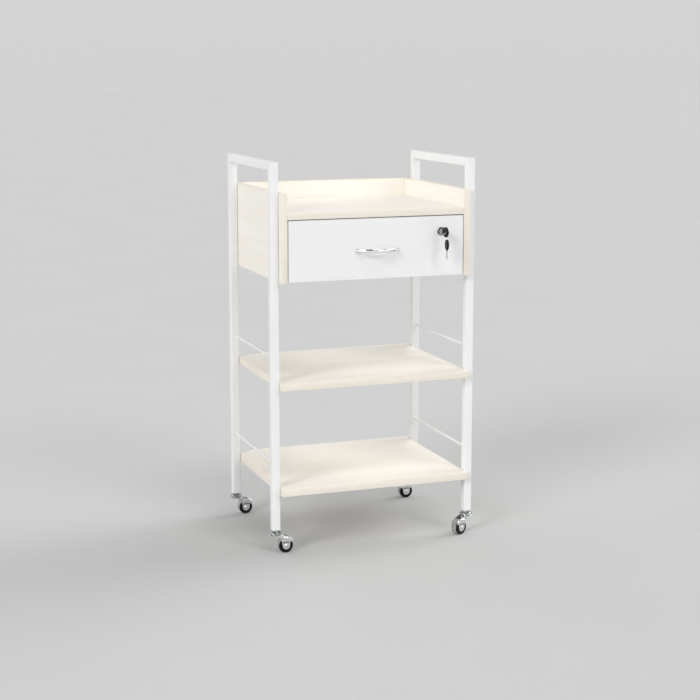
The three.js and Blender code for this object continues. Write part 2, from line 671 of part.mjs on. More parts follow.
// Assembly. The shift puts the origin on the floor under the middle of the whole object.
const group = new THREE.Group();
group.name = 'salon_trolley';
group.position.y = CENTRE_SHIFT;

addSideFrame(group, 'left', -POST_X);
addSideFrame(group, 'right', POST_X);
addShelves(group);
addCabinet(group);
addRunners(group);
addDrawer(group);
addLock(group);
addCaster(group, 'front_left', -POST_X, -POST_Y);
addCaster(group, 'rear_left', -POST_X, POST_Y);
addCaster(group, 'front_right', POST_X, -POST_Y);
addCaster(group, 'rear_right', POST_X, POST_Y);

export default group;
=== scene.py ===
import json
import math

import bmesh
import bpy
from mathutils import Matrix, Vector


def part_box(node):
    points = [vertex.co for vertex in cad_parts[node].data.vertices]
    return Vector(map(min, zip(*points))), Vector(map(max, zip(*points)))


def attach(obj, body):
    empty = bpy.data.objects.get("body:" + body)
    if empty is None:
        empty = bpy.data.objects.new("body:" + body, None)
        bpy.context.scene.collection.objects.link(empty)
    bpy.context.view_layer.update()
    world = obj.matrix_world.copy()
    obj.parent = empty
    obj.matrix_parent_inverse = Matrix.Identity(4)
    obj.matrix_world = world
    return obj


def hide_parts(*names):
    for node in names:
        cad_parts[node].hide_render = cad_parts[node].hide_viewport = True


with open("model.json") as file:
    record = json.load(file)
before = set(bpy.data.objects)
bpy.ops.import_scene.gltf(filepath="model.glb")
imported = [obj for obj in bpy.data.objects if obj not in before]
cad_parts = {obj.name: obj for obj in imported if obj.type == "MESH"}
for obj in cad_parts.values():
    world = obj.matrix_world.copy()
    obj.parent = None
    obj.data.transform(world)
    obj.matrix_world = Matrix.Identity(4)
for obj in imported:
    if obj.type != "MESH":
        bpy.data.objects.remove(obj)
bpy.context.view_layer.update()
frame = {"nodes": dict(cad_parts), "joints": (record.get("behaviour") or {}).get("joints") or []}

# Rolling salon trolley. Lengths are millimetres in the builders, and metres in Blender.
MM = 0.001
TURN = 2 * math.pi
JOINTS = {joint["name"]: joint for joint in frame["joints"]}
SIDES = {"left": -1, "right": 1}
CORNERS = ("front_left", "rear_left", "front_right", "rear_right")

# Camera: what it aims at in metres, its direction in degrees, and its lens
CAMERA_TARGET = Vector((0.0036, 0.0244, 0.5529))
CAMERA_AZIMUTH = -19.82
CAMERA_ELEVATION = 8.98
CAMERA_DISTANCE = 3.895
FOCAL_LENGTH = 79.6
LENS_SHIFT = -0.0571

# Studio: the room's brightness by the sine of the elevation, and the patches laid over it.
# A patch is [azimuth, elevation, cosine at its rim, cosine where it is full, brightness].
ROOM_LEVELS = ((0.0, 0.65), (0.2, 0.67), (0.34, 1.05), (0.8, 1.0), (1.0, 0.8))
PALE_FRONT = (-10, 0, 0.1, 0.6, 1.05)
DARK_CEILING = (-20, 60, 0.62, 0.78, 0.1)
DARK_BACK = (160, 26, 0.913, 0.97, 0.08)
# A sun is [name, strength, angular size, azimuth, elevation]
SUNS = (
    ("key", 0.45, 16, 25, 33),
    ("fill", 1.4, 24, -55, 28),
    ("rim", 1.2, 34, 100, 30),
    ("top", 0.6, 20, 10, 62),
)
# From the floor's middle to its edge, in metres
FLOOR_REACH = 60.0
FLOOR_DARK = (0.515, 0.515, 0.515)
FLOOR_LIGHT = (0.525, 0.525, 0.525)

# Side frames. MITRE_GAP is left between a post and its bar, and RAIL_REACH is added to each end
# of a rail, so that it meets its post.
TUBE = 20
TUBE_CORNER = 2.2
TUBE_WALL = 1.2
MITRE_GAP = 0.05
WELD_RADIUS = 0.45
RAIL_REACH = 0.3
# [radius, distance from the rail's end] of the fillet where a rail is welded to a post
RAIL_FILLET = ((4.4, 0), (4.1, 0.5), (3.5, 1.1), (3.15, 2), (3, 3.2))
# [radius, height] of a domed screw cap, and [board, share of its height] where the caps are
SCREW_CAP = ((0, 0), (4, 0), (4, 0.2), (3.7, 0.5), (2.8, 0.75), (1.4, 0.88), (0, 0.9))
CAP_LEVELS = (
    ("lower_shelf", 0.5),
    ("upper_shelf", 0.5),
    ("cabinet_left_panel", 0.2),
    ("cabinet_top_board", 0.5),
)

# Boards
BAND_THICKNESS = 1.0
BAND_SEAM = 0.05
CAM_CLEARANCE = 3
CAM_SIDE_CLEARANCE = 2.5
CAM_POCKET_DEPTH = 9
LOCK_BORE_RADIUS = 8.3

# Nylon rollers of the drawer's runners
ROLLER_RADIUS = 8
ROLLER_HALF_WIDTH = 3
ROLLER_SHOULDER = 0.8

# Drawer handle: half the depth of its section, the slope that it leans back by, the power that
# squares its oval (1 is an ellipse), and how far its curve runs on into the cut (1 is no further)
BOW_HALF_DEPTH = 2.2
BOW_LEAN = 0.14
BOW_POWER = 0.75
BOW_OVERRUN = 1.06
# Where a foot starts, as a share of half the handle, and how much it swells
FOOT_START = 0.88
FOOT_FLARE = 0.25
SCREW_INSET = 5
SCREW_HEAD_HEIGHT = 2.65

# Longer than anything that a cutting tool has to pass through
FAR = 30

# Casters, drawn about the swivel axis with the wheel trailing along +X
TRAIL = 24
WHEEL_RADIUS = 18
WHEEL_HALF_WIDTH = 8.5
HOOD_RADIUS = 23
HOOD_HALF_WIDTH = 11.2
LEG_HALF_WIDTH = 10.1
WHEEL_SPACE = 20.4
WHEEL_SPACE_HALF_WIDTH = 8.95
AXLE_HOLE = 2.8
KINGPIN_HOLE = 4.5
KINGPIN_HEAD_HOLE = 6.8

# A screw thread is its turn's [radius, height] points, where it starts, its pitch and its turns
BARREL_THREAD = (((7.6, 0), (8, 0.35), (8, 0.5), (7.6, 0.85)), 1, 1, 27)
STEM_THREAD = (((3.6, 0), (4, 0.5), (4, 0.7), (3.6, 1.15)), 58.4, 1.25, 16)

# Lock and keys
COLLAR_RADIUS = 10
BARREL_BORE = 5.5
BARREL_ROOT = 7.6
BARREL_END = 29.7
PLUG_RADIUS = 5.2
CAM_CORNER = 5
CAM_HOLE_RADIUS = 3.05
NUT_RADIUS = 12
KEY_HEAD_RADIUS = 12.5
KEY_HEAD_THICKNESS = 6
KEY_HOLE_FROM_TIP = 5
KEY_HOLE_RADIUS = 2.7
KEY_TANG = 6
KEY_BLADE_LENGTH = 23
KEY_BLADE_HALF_HEIGHT = 3.9
# [distance from the key's shoulder, depth] of the cuts in a blade
KEY_CUTS = ((18.5, 1.9), (16.5, 0.8), (14.5, 2.6), (12.5, 1.7), (10.5, 2.9), (8.5, 1.1))
RING_RADIUS = 11
RING_WIRE = 0.38
SPARE_KEY_TWIST = -11


# ---------------------------------------------------------------- mesh helpers

def place(piece, body, nodes=()):
    """Puts a finished piece on its body, and hides the CAD nodes that it stands for."""
    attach(piece, body)
    if nodes:
        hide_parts(*nodes)
    return piece


def link_mesh(name, bm, look, smooth_angle=35):
    """Turns a bmesh into a linked object whose shading breaks at its sharp edges."""
    bmesh.ops.recalc_face_normals(bm, faces=bm.faces)
    limit = math.radians(smooth_angle)
    for face in bm.faces:
        face.smooth = True
    for edge in bm.edges:
        if len(edge.link_faces) == 2:
            edge.smooth = edge.calc_face_angle() < limit
    mesh = bpy.data.meshes.new(name)
    bm.to_mesh(mesh)
    bm.free()
    mesh.materials.append(look)
    made = bpy.data.objects.new(name, mesh)
    bpy.context.scene.collection.objects.link(made)
    return made


def mm_box(node):
    low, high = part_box(node)
    return Vector(low) / MM, Vector(high) / MM


def joint_place(name):
    return Vector(JOINTS[name]["pos_m"]) / MM


def shift(x, y, z):
    return Matrix.Translation(Vector((x, y, z)) * MM)


def spin(angle, axis):
    return Matrix.Rotation(math.radians(angle), 4, axis)


def moved(bm, matrix):
    bmesh.ops.transform(bm, matrix=matrix, verts=bm.verts)
    return bm


def skin(bm, loops, close_rows=False):
    """Joins rings of points into a skin; the last ring may be joined to the first."""
    rings = [[bm.verts.new(Vector(point) * MM) for point in loop] for loop in loops]
    pairs = list(zip(rings, rings[1:]))
    if close_rows:
        pairs.append((rings[-1], rings[0]))
    for ring_a, ring_b in pairs:
        count = len(ring_a)
        for i in range(count):
            j = (i + 1) % count
            bm.faces.new((ring_a[i], ring_a[j], ring_b[j], ring_b[i]))
    return rings


def capped_skin(loops):
    """A closed skin through rings of points, with a flat cap on the first and the last."""
    bm = bmesh.new()
    rings = skin(bm, loops)
    bm.faces.new(rings[0])
    bm.faces.new(rings[-1])
    return bm


def lathe(outline, sides=48, closed=False):
    """A body of revolution about Z from [radius, height] points; closed joins last to first."""
    bm = bmesh.new()
    columns = []
    for radius, height in outline:
        if radius == 0:
            columns.append([bm.verts.new(Vector((0, 0, height)) * MM)])
            continue
        ring = []
        for i in range(sides):
            angle = TURN * i / sides
            spot = Vector((radius * math.cos(angle), radius * math.sin(angle), height))
            ring.append(bm.verts.new(spot * MM))
        columns.append(ring)
    pairs = list(zip(columns, columns[1:]))
    if closed:
        pairs.append((columns[-1], columns[0]))
    for a, b in pairs:
        for i in range(sides):
            j = (i + 1) % sides
            if len(a) == 1:
                bm.faces.new((a[0], b[j], b[i]))
            elif len(b) == 1:
                bm.faces.new((a[i], a[j], b[0]))
            else:
                bm.faces.new((a[i], a[j], b[j], b[i]))
    return bm


def mirrored(flank, middle=()):
    """A lathe outline from the [radius, height] points of its lower half, mirrored about Z = 0."""
    return list(flank) + list(middle) + [(radius, -height) for radius, height in reversed(flank)]


def threaded(turn, start, pitch, turns):
    """A screw thread's outline: one turn of it, repeated at its pitch."""
    return [(radius, start + pitch * i + height) for i in range(turns) for radius, height in turn]


def disc(radius, low, high, sides=48):
    return lathe([(0, low), (radius, low), (radius, high), (0, high)], sides)


def rounded_box(low, high, radius=0.8, segments=3):
    """A box between two corners, with its edges rounded unless the radius is 0."""
    bm = bmesh.new()
    bmesh.ops.create_cube(bm, size=1.0)
    low, high = Vector(low), Vector(high)
    size, middle = high - low, (low + high) / 2
    for vert in bm.verts:
        vert.co = Vector([vert.co[k] * size[k] + middle[k] for k in range(3)]) * MM
    if radius:
        bmesh.ops.bevel(
            bm, geom=list(bm.edges), offset=radius * MM, segments=segments, profile=0.5, affect="EDGES",
        )
    return bm


def plate(points, low, high, round_by=0.0, segments=3):
    """An outline of [x, z] points extruded along Y, with the rims of both faces rounded."""
    bm = capped_skin([[(x, y, z) for x, z in points] for y in (low, high)])
    if round_by:
        rims = [edge for edge in bm.edges if abs(edge.verts[0].co.y - edge.verts[1].co.y) < 1e-7]
        bmesh.ops.bevel(
            bm, geom=rims, offset=round_by * MM, segments=segments, profile=0.5, affect="EDGES",
            clamp_overlap=True,
        )
    return bm


def arc(cx, cz, radius, start, end, steps):
    """Points along an arc; the angles are degrees."""
    found = []
    for i in range(steps + 1):
        angle = math.radians(start + (end - start) * i / steps)
        found.append((cx + radius * math.cos(angle), cz + radius * math.sin(angle)))
    return found


def swept(path, radius, sides=10, closed=False):
    """A round wire of that radius along a list of points."""
    spots = [Vector(point) for point in path]
    count = len(spots)
    loops = []
    side_way = None
    for i, spot in enumerate(spots):
        if closed:
            ahead = spots[(i + 1) % count] - spots[i - 1]
        else:
            ahead = spots[min(i + 1, count - 1)] - spots[max(i - 1, 0)]
        ahead.normalize()
        if side_way is None:
            helper = Vector((0, 0, 1)) if abs(ahead.z) < 0.9 else Vector((1, 0, 0))
            side_way = ahead.cross(helper).normalized()
        side_way = (side_way - ahead * side_way.dot(ahead)).normalized()
        up_way = ahead.cross(side_way)
        ring = []
        for k in range(sides):
            angle = TURN * k / sides
            ring.append(spot + radius * (side_way * math.cos(angle) + up_way * math.sin(angle)))
        loops.append(ring)
    if closed:
        bm = bmesh.new()
        skin(bm, loops, close_rows=True)
        return bm
    return capped_skin(loops)


def merged(*parts):
    """Several bmeshes as one; the parts are freed."""
    whole = bmesh.new()
    for part in parts:
        scratch = bpy.data.meshes.new("scratch")
        part.to_mesh(scratch)
        part.free()
        whole.from_mesh(scratch)
        bpy.data.meshes.remove(scratch)
    return whole


def boolean(base, tool, operation="DIFFERENCE"):
    """base with tool cut from it, joined to it or met with it; both bmeshes are freed."""
    objects = []
    for part in (base, tool):
        bmesh.ops.recalc_face_normals(part, faces=part.faces)
        mesh = bpy.data.meshes.new("scratch")
        part.to_mesh(mesh)
        part.free()
        scratch = bpy.data.objects.new("scratch", mesh)
        bpy.context.scene.collection.objects.link(scratch)
        objects.append(scratch)
    cutter = objects[0].modifiers.new("cut", "BOOLEAN")
    cutter.object = objects[1]
    cutter.operation = operation
    cutter.solver = "EXACT"
    bpy.context.view_layer.update()
    shown = objects[0].evaluated_get(bpy.context.evaluated_depsgraph_get())
    result = bmesh.new()
    result.from_mesh(shown.to_mesh())
    shown.to_mesh_clear()
    for scratch in objects:
        mesh = scratch.data
        bpy.data.objects.remove(scratch)
        bpy.data.meshes.remove(mesh)
    return result


# ---------------------------------------------------------------- materials

class Look:
    """A Principled material, and short calls that add nodes to it."""

    def __init__(self, name, color, roughness, metallic=0.0):
        self.material = bpy.data.materials.new(name)
        self.material.use_nodes = True
        self.nodes = self.material.node_tree.nodes
        self.links = self.material.node_tree.links
        self.shader = self.nodes["Principled BSDF"]
        self.shader.inputs["Base Color"].default_value = (*color, 1)
        self.shader.inputs["Roughness"].default_value = roughness
        self.shader.inputs["Metallic"].default_value = metallic
        self.coords = self.nodes.new("ShaderNodeTexCoord").outputs["Object"]

    def noise(self, scale, detail=2.0, stretch=None, roughness=0.5, distortion=0.0):
        node = self.nodes.new("ShaderNodeTexNoise")
        node.inputs["Scale"].default_value = scale
        node.inputs["Detail"].default_value = detail
        node.inputs["Roughness"].default_value = roughness
        node.inputs["Distortion"].default_value = distortion
        vector = self.coords
        if stretch:
            mapping = self.nodes.new("ShaderNodeMapping")
            mapping.inputs["Scale"].default_value = stretch
            self.links.new(self.coords, mapping.inputs["Vector"])
            vector = mapping.outputs["Vector"]
        self.links.new(vector, node.inputs["Vector"])
        return node.outputs["Fac"]

    def color_between(self, factor, dark, light, low=0.3, high=0.7):
        ramp = self.nodes.new("ShaderNodeValToRGB")
        ramp.color_ramp.elements[0].position = low
        ramp.color_ramp.elements[0].color = (*dark, 1)
        ramp.color_ramp.elements[1].position = high
        ramp.color_ramp.elements[1].color = (*light, 1)
        self.links.new(factor, ramp.inputs["Fac"])
        self.links.new(ramp.outputs["Color"], self.shader.inputs["Base Color"])

    def roughness_between(self, factor, low, high):
        node = self.nodes.new("ShaderNodeMapRange")
        node.inputs["From Min"].default_value = 0.25
        node.inputs["From Max"].default_value = 0.75
        node.inputs["To Min"].default_value = low
        node.inputs["To Max"].default_value = high
        self.links.new(factor, node.inputs["Value"])
        self.links.new(node.outputs["Result"], self.shader.inputs["Roughness"])

    def bump(self, factor, strength, depth):
        node = self.nodes.new("ShaderNodeBump")
        node.inputs["Strength"].default_value = strength
        node.inputs["Distance"].default_value = depth
        self.links.new(factor, node.inputs["Height"])
        self.links.new(node.outputs["Normal"], self.shader.inputs["Normal"])


def powder_coat():
    look = Look("white_powder_coat", (0.83, 0.835, 0.835), 0.4)
    look.color_between(look.noise(9, 3), (0.815, 0.82, 0.82), (0.845, 0.85, 0.85))
    look.roughness_between(look.noise(40, 3), 0.34, 0.46)
    look.bump(look.noise(700, 2), 0.12, 0.00015)
    look.shader.inputs["Coat Weight"].default_value = 0.15
    look.shader.inputs["Coat Roughness"].default_value = 0.25
    return look.material


def laminate(name, stretch):
    """Pale maple print whose faint grain runs along the axis with the smallest stretch."""
    look = Look(name, (0.90, 0.865, 0.80), 0.45)
    grain = look.noise(9, 6, stretch, 0.55, 0.5)
    look.color_between(grain, (0.875, 0.835, 0.765), (0.91, 0.878, 0.815), 0.36, 0.66)
    look.roughness_between(look.noise(60, 2, stretch), 0.4, 0.54)
    look.bump(look.noise(60, 4, stretch), 0.1, 0.0001)
    return look.material


def edge_band(name, stretch):
    look = Look(name, (0.84, 0.78, 0.69), 0.42)
    look.color_between(look.noise(14, 5, stretch), (0.80, 0.735, 0.64), (0.86, 0.80, 0.715))
    look.roughness_between(look.noise(50, 2), 0.36, 0.5)
    look.bump(look.noise(90, 3, stretch), 0.1, 0.0001)
    return look.material


def white_laminate():
    look = Look("white_laminate", (0.83, 0.835, 0.83), 0.33)
    look.color_between(look.noise(6, 3), (0.82, 0.825, 0.82), (0.84, 0.845, 0.84))
    look.roughness_between(look.noise(30, 3), 0.28, 0.4)
    look.bump(look.noise(420, 3), 0.1, 0.0001)
    return look.material


def drawer_foil():
    look = Look("drawer_foil", (0.76, 0.75, 0.72), 0.55)
    look.color_between(look.noise(12, 4, (1, 0.2, 1)), (0.73, 0.715, 0.68), (0.79, 0.78, 0.75))
    look.roughness_between(look.noise(60, 2), 0.48, 0.62)
    look.bump(look.noise(500, 2), 0.15, 0.0001)
    return look.material


def plated_steel(name, color, low, high, metallic):
    look = Look(name, color, low, metallic)
    dull = tuple(0.9 * part for part in color)
    look.color_between(look.noise(45, 4), dull, color)
    look.roughness_between(look.noise(130, 4), low, high)
    look.bump(look.noise(900, 2), 0.05, 0.00006)
    return look.material


def polished_chrome():
    look = Look("polished_chrome", (0.88, 0.89, 0.90), 0.08, 1.0)
    look.color_between(look.noise(30, 3), (0.86, 0.87, 0.88), (0.91, 0.92, 0.93))
    look.roughness_between(look.noise(80, 3), 0.05, 0.12)
    look.bump(look.noise(160, 2), 0.02, 0.0001)
    return look.material


def moulding(name, dark, light, low, high, grain, shine=0.5):
    """Moulded plastic or rubber with a fine grain in its surface."""
    look = Look(name, light, low)
    look.color_between(look.noise(80, 4), dark, light)
    look.roughness_between(look.noise(150, 3), low, high)
    look.bump(look.noise(grain, 2), 0.18, 0.0001)
    look.shader.inputs["Specular IOR Level"].default_value = shine
    return look.material


PAINT = powder_coat()
MAPLE_ACROSS = laminate("maple_laminate_x", (0.35, 6, 6))
MAPLE_DEEP = laminate("maple_laminate_y", (6, 0.35, 6))
BAND_ACROSS = edge_band("maple_band_x", (0.3, 8, 8))
BAND_DEEP = edge_band("maple_band_y", (8, 0.3, 8))
BAND_UPRIGHT = edge_band("maple_band_z", (8, 8, 0.3))
WHITE_BOARD = white_laminate()
FOIL = drawer_foil()
ZINC = plated_steel("bright_zinc", (0.82, 0.845, 0.84), 0.1, 0.18, 1.0)
# The swivel stem's zinc is darkened: a painted reflection, so that the race's rims show dark as if they
# mirrored dark surroundings.
ZINC_DARKENED_AS_PAINTED_REFLECTION = plated_steel("zinc_darkened_as_painted_reflection", (0.46, 0.49, 0.48), 0.12, 0.22, 1.0)
NICKEL = plated_steel("nickel_plate", (0.68, 0.67, 0.66), 0.14, 0.28, 1.0)
# The lock collar's nickel is darkened: a painted reflection that stands in for the dark studio its
# polished face would mirror.
NICKEL_DARKENED_AS_PAINTED_REFLECTION = plated_steel("nickel_darkened_as_painted_reflection", (0.24, 0.22, 0.195), 0.1, 0.2, 1.0)
SATIN_STEEL = plated_steel("satin_steel", (0.86, 0.86, 0.86), 0.35, 0.5, 0.6)
CHROME = polished_chrome()
GREY_RUBBER = moulding("grey_rubber", (0.30, 0.30, 0.29), (0.38, 0.38, 0.365), 0.45, 0.6, 1400)
BLACK = moulding("black_plastic", (0.004, 0.004, 0.005), (0.009, 0.009, 0.01), 0.3, 0.42, 1800, 0.2)
NYLON = moulding("white_nylon", (0.76, 0.75, 0.72), (0.82, 0.81, 0.78), 0.38, 0.5, 1200)


# ---------------------------------------------------------------- side frames

def square_section(size, corner, steps=6):
    """Points of a rounded square about the origin."""
    half = size / 2 - corner
    points = []
    for k, (sx, sy) in enumerate(((1, 1), (-1, 1), (-1, -1), (1, -1))):
        points += arc(sx * half, sy * half, corner, 90 * k, 90 * k + 90, steps)
    return points


def square_tube(bottom, top):
    """A hollow tube along Z; bottom and top give its end height at each point of the section."""
    outer = square_section(TUBE, TUBE_CORNER)
    inner = square_section(TUBE - 2 * TUBE_WALL, TUBE_CORNER - TUBE_WALL)
    loops = []
    for section, level in ((outer, bottom), (outer, top), (inner, top), (inner, bottom)):
        loops.append([(a, b, level(a, b)) for a, b in section])
    bm = bmesh.new()
    skin(bm, loops, close_rows=True)
    return bm


def build_posts():
    """The four posts, each mitred at the top towards its handle bar."""
    for side in SIDES:
        for end, inward in (("front", 1), ("rear", -1)):
            node = f"{side}_{end}_post"
            low, high = mm_box(node)
            bar_top = mm_box(f"{side}_handle_bar")[1].z
            middle = (low + high) / 2
            bm = square_tube(
                lambda a, b: low.z,
                lambda a, b: bar_top - TUBE / 2 - MITRE_GAP - inward * b,
            )
            moved(bm, shift(middle.x, middle.y, 0))
            place(link_mesh(node + "_tube", bm, PAINT), "chassis", [node])


def mitre_weld(side, end, x, y, z):
    """The dressed bead round a mitre; end is -1 at the front and 1 at the rear."""
    ring = [(x + a, y + end * b, z + b) for a, b in square_section(TUBE, TUBE_CORNER)]
    name = f"{side}_{'front' if end < 0 else 'rear'}_mitre_weld"
    bead = swept(ring, WELD_RADIUS, 8, closed=True)
    place(link_mesh(name, bead, PAINT), "chassis")


def build_handle_bars():
    """A bar with a mitre at each end. Its tube is drawn along Z and then laid along Y."""
    for side in SIDES:
        node = f"{side}_handle_bar"
        low, high = mm_box(node)
        middle = (low + high) / 2
        reach = (high.y - low.y) / 2
        bm = square_tube(
            lambda a, b: TUBE / 2 - reach + b,
            lambda a, b: reach - TUBE / 2 - b,
        )
        moved(bm, shift(*middle) @ spin(-90, "X"))
        place(link_mesh(node + "_tube", bm, PAINT), "chassis", [node])
        for end in (-1, 1):
            mitre_weld(side, end, middle.x, middle.y + end * (reach - TUBE / 2), middle.z)


def build_rails():
    """Guard rails of round bar, with a weld fillet where each end meets its post."""
    for side in SIDES:
        for level in ("upper", "lower"):
            node = f"{side}_{level}_rail"
            low, high = mm_box(node)
            middle = (low + high) / 2
            reach = (high.y - low.y) / 2 + RAIL_REACH
            flank = [(0, -reach)] + [(radius, along - reach) for radius, along in RAIL_FILLET]
            bm = moved(lathe(mirrored(flank), 32), shift(*middle) @ spin(-90, "X"))
            place(link_mesh(node + "_bar", bm, PAINT), "chassis", [node])


def build_screw_caps():
    """Low domed caps over the screws that go through the posts into the boards' ends."""
    heights = []
    for node, share in CAP_LEVELS:
        low, high = mm_box(node)
        heights.append(low.z + (high.z - low.z) * share)
    for side, sign in SIDES.items():
        for end in ("front", "rear"):
            low, high = mm_box(f"{side}_{end}_post")
            x = high.x if sign > 0 else low.x
            caps = []
            for z in heights:
                cap = moved(lathe(SCREW_CAP, 32), spin(sign * 90, "Y"))
                caps.append(moved(cap, shift(x, (low.y + high.y) / 2, z)))
            name = f"{side}_{end}_screw_caps"
            place(link_mesh(name, merged(*caps), NYLON), "chassis")


# ---------------------------------------------------------------- boards

FACES = {
    "left": (0, 0), "right": (0, 1), "front": (1, 0), "back": (1, 1), "bottom": (2, 0), "top": (2, 1),
}


def banded_board(node, body, core_look, bands, rounding=0.4, cutter=None):
    """A laminate core with a thin band glued along each named edge; cutter is cut from the core.

    Bands on the first named edge's axis keep their full length, and the others end against them.
    """
    low, high = mm_box(node)
    core_low, core_high = low.copy(), high.copy()
    thin = min(range(3), key=lambda k: high[k] - low[k])
    for edge in bands:
        axis, end = FACES[edge]
        if end:
            core_high[axis] -= BAND_THICKNESS + BAND_SEAM
        else:
            core_low[axis] += BAND_THICKNESS + BAND_SEAM
    first_axis = FACES[next(iter(bands))][0]
    for edge, look in bands.items():
        axis, end = FACES[edge]
        band_low, band_high = low.copy(), high.copy()
        for other in range(3):
            if other not in (axis, thin) and axis != first_axis:
                band_low[other], band_high[other] = core_low[other], core_high[other]
        if end:
            band_low[axis] = high[axis] - BAND_THICKNESS
        else:
            band_high[axis] = low[axis] + BAND_THICKNESS
        strip = rounded_box(band_low, band_high, rounding, 3)
        place(link_mesh(f"{node}_{edge}_band", strip, look), body)
    core_low[thin] += BAND_SEAM
    core_high[thin] -= BAND_SEAM
    core = rounded_box(core_low, core_high, 0.1, 1)
    if cutter:
        core = boolean(core, cutter)
    place(link_mesh(f"{node}_core", core, core_look), body, [node])


def cam_pocket():
    """The pocket under the tray floor that the lock's cam turns up into."""
    board_low = mm_box("cabinet_top_board")[0]
    lock = joint_place("lock_turn")
    cam_low, cam_high = mm_box("lock_cam")
    reach = lock.x - cam_low.x
    entry = math.sqrt(reach ** 2 - (board_low.z - lock.z) ** 2) + CAM_CLEARANCE
    return rounded_box(
        (lock.x - entry, cam_low.y - CAM_SIDE_CLEARANCE, board_low.z - 2),
        (lock.x + 10, cam_high.y + CAM_SIDE_CLEARANCE, board_low.z + CAM_POCKET_DEPTH), 1.0, 3,
    )


def build_boards():
    all_round = {"front": BAND_ACROSS, "back": BAND_ACROSS, "left": BAND_DEEP, "right": BAND_DEEP}
    for node in ("upper_shelf", "lower_shelf"):
        banded_board(node, "chassis", MAPLE_ACROSS, all_round)
    upright = {"front": BAND_UPRIGHT, "back": BAND_UPRIGHT, "top": BAND_DEEP, "bottom": BAND_DEEP}
    for node in ("cabinet_left_panel", "cabinet_right_panel"):
        banded_board(node, "chassis", MAPLE_DEEP, upright)
    across = {"top": BAND_ACROSS, "bottom": BAND_ACROSS}
    banded_board("cabinet_back_panel", "chassis", MAPLE_ACROSS, across)
    banded_board(
        "cabinet_top_board", "chassis", MAPLE_ACROSS, {"front": BAND_ACROSS},
        cutter=cam_pocket(),
    )


def build_drawer_front():
    """White laminate with its four edges banded in white, bored through for the lock."""
    lock = joint_place("lock_turn")
    bore = moved(disc(LOCK_BORE_RADIUS, -FAR, FAR), shift(*lock) @ spin(90, "X"))
    bands = {edge: WHITE_BOARD for edge in ("top", "bottom", "left", "right")}
    banded_board("drawer_front", "drawer", WHITE_BOARD, bands, 0.6, bore)


def soften(node, look, width):
    """Keeps a CAD node, with its edges rounded by a modifier and a material of its own."""
    kept = frame["nodes"][node]
    kept.data.materials.clear()
    kept.data.materials.append(look)
    weld = kept.modifiers.new("weld", "WELD")
    weld.merge_threshold = 1e-6
    bevel = kept.modifiers.new("bevel", "BEVEL")
    bevel.width = width * MM
    bevel.segments = 2
    bevel.limit_method = "ANGLE"
    bevel.angle_limit = math.radians(50)
    bevel.harden_normals = True


def build_kept_nodes():
    for node in ("drawer_left_side", "drawer_right_side", "drawer_back", "drawer_bottom"):
        soften(node, FOIL, 0.6)
    for side in SIDES:
        soften(f"{side}_cabinet_runner", ZINC, 0.25)
        soften(f"{side}_drawer_runner", ZINC, 0.25)
    for corner in CORNERS:
        soften(f"{corner}_leg_insert", BLACK, 0.5)


# ---------------------------------------------------------------- rollers and handle

def build_rollers():
    """Nylon rollers with a crowned tread, a recessed web and a hub."""
    half, shoulder = ROLLER_HALF_WIDTH, ROLLER_SHOULDER
    flank = [(2.3, -half), (3.6, -half), (4, 0.5 - half), (6, 0.5 - half), (6.4, -half)]
    flank += arc(ROLLER_RADIUS - shoulder, shoulder - half, shoulder, -90, 0, 4)
    for side in SIDES:
        for where in ("cabinet", "drawer"):
            node = f"{side}_{where}_roller"
            low, high = mm_box(node)
            at = shift(*((low + high) / 2)) @ spin(90, "Y")
            bm = moved(lathe(mirrored(flank), 40, closed=True), at)
            place(link_mesh(node + "_tyre", bm, NYLON), node, [node])


def cross_recess(head, top, reach):
    """Cuts a crosshead recess into the top of a screw head that stands on Z = 0."""
    for a, b in ((reach, 0.45), (0.45, reach)):
        head = boolean(head, rounded_box((-a, -b, top - 1.2), (a, b, top + 1), 0))
    return head


def build_drawer_handle():
    """A bow of flattened oval section that swells into a flat foot at each end."""
    low, high = mm_box("drawer_handle")
    middle = (low + high) / 2
    reach = high.y - low.y
    half = (high.x - low.x) / 2
    radius = (half * half + reach * reach) / (2 * reach)
    sweep = math.asin(half / radius)
    tall = (high.z - low.z) / 2
    steps, sides = 60, 28
    loops = []
    for i in range(steps + 1):
        share = BOW_OVERRUN * (2 * i / steps - 1)
        outward = Vector((math.sin(sweep * share), -math.cos(sweep * share), 0))
        spot = Vector((middle.x, low.y + radius, middle.z)) + (radius - BOW_HALF_DEPTH) * outward
        near_foot = max(0.0, (abs(share) - FOOT_START) / (1 - FOOT_START))
        flare = 1 + FOOT_FLARE * near_foot * near_foot
        ring = []
        for k in range(sides):
            c, s = math.cos(TURN * k / sides), math.sin(TURN * k / sides)
            flat_c = math.copysign(abs(c) ** BOW_POWER, c)
            flat_s = math.copysign(abs(s) ** BOW_POWER, s)
            out = BOW_HALF_DEPTH * flare * flat_c - BOW_LEAN * tall * flat_s
            ring.append(spot + outward * out + Vector((0, 0, tall * flat_s)))
        loops.append(ring)
    behind = rounded_box(
        (middle.x - 90, high.y + 0.2, middle.z - 40), (middle.x + 90, high.y + 60, middle.z + 40), 0,
    )
    bow = boolean(capped_skin(loops), behind)
    place(link_mesh("drawer_handle_bow", bow, CHROME, 50), "drawer", ["drawer_handle"])


def build_handle_screws():
    """The heads of the handle's two screws, inside the drawer."""
    low, high = mm_box("drawer_handle")
    middle = (low + high) / 2
    half = (high.x - low.x) / 2
    outline = [(0, 0), (4, 0), (4, 0.8), (3.6, 1.7), (2.6, 2.3), (1.2, 2.6), (0, SCREW_HEAD_HEIGHT)]
    inside = mm_box("drawer_front")[1].y
    heads = []
    for sign in (-1, 1):
        head = cross_recess(lathe(outline, 32), SCREW_HEAD_HEIGHT, 2.4)
        moved(head, spin(-90, "X"))
        heads.append(moved(head, shift(middle.x + sign * (half - SCREW_INSET), inside, middle.z)))
    place(link_mesh("handle_screws", merged(*heads), ZINC), "drawer")


# ---------------------------------------------------------------- lock and keys

